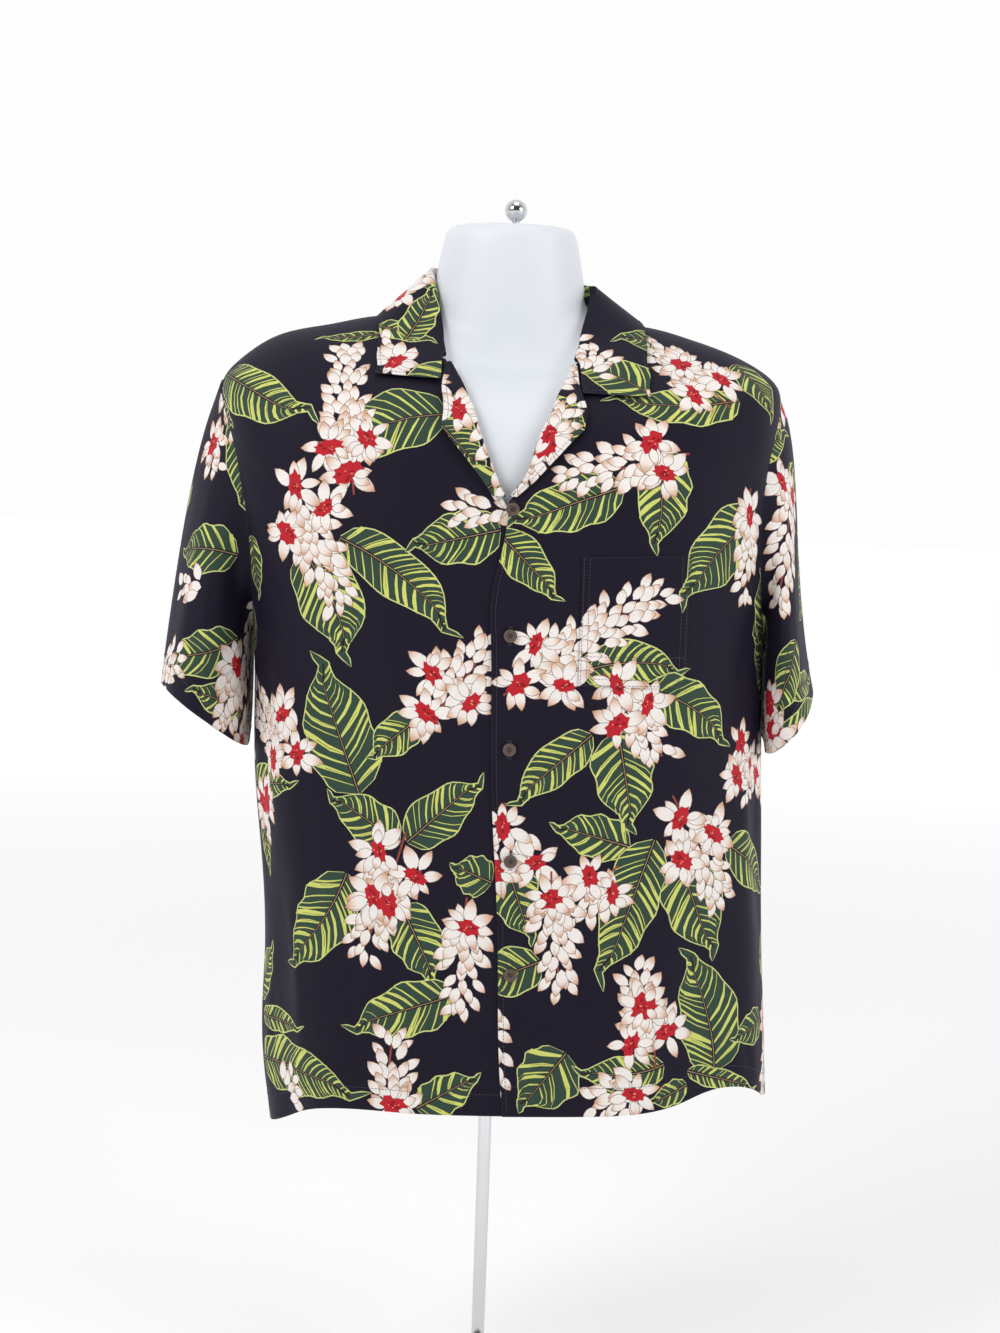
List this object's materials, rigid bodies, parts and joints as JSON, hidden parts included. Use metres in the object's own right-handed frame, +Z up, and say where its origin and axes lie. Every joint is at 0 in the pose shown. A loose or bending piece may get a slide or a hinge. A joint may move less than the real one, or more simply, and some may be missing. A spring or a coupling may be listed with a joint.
{
  "type": "hawaiian shirt on a dress form",
  "caption": "Short-sleeved camp-collar shirt with a leaf and flower print, buttoned over a limbless dress form that stands on a pole and a round base.",
  "frame": {"origin": "middle of the underside of the stand's round base", "axes": "+Z up, -Y the way the wearer faces, +X the wearer's left"},
  "size_m": [0.5947, 0.2856, 1.1076],
  "materials": {
    "printed_rayon": "soft woven rayon, printed with leaves and flowers on a near-black ground",
    "coconut_shell": "turned coconut shell, rubbed smooth",
    "painted_form": "white moulded plastic, satin",
    "chromed_steel": "polished chrome plating",
    "chromed_base": "chrome plating, lightly brushed"
  },
  "bodies": {
    "root": {"shirt_front_left": "printed_rayon", "shirt_front_right": "printed_rayon", "shirt_back": "printed_rayon", "sleeve_left": "printed_rayon", "sleeve_right": "printed_rayon", "lapel_left": "printed_rayon", "lapel_right": "printed_rayon", "collar": "printed_rayon", "pocket": "printed_rayon", "button_1": "coconut_shell", "button_2": "coconut_shell", "button_3": "coconut_shell", "button_4": "coconut_shell", "button_5": "coconut_shell", "dress_form": "painted_form", "finial": "chromed_steel", "form_flange": "chromed_steel", "pole": "chromed_steel", "base": "chromed_base"}
  },
  "joints": []
}
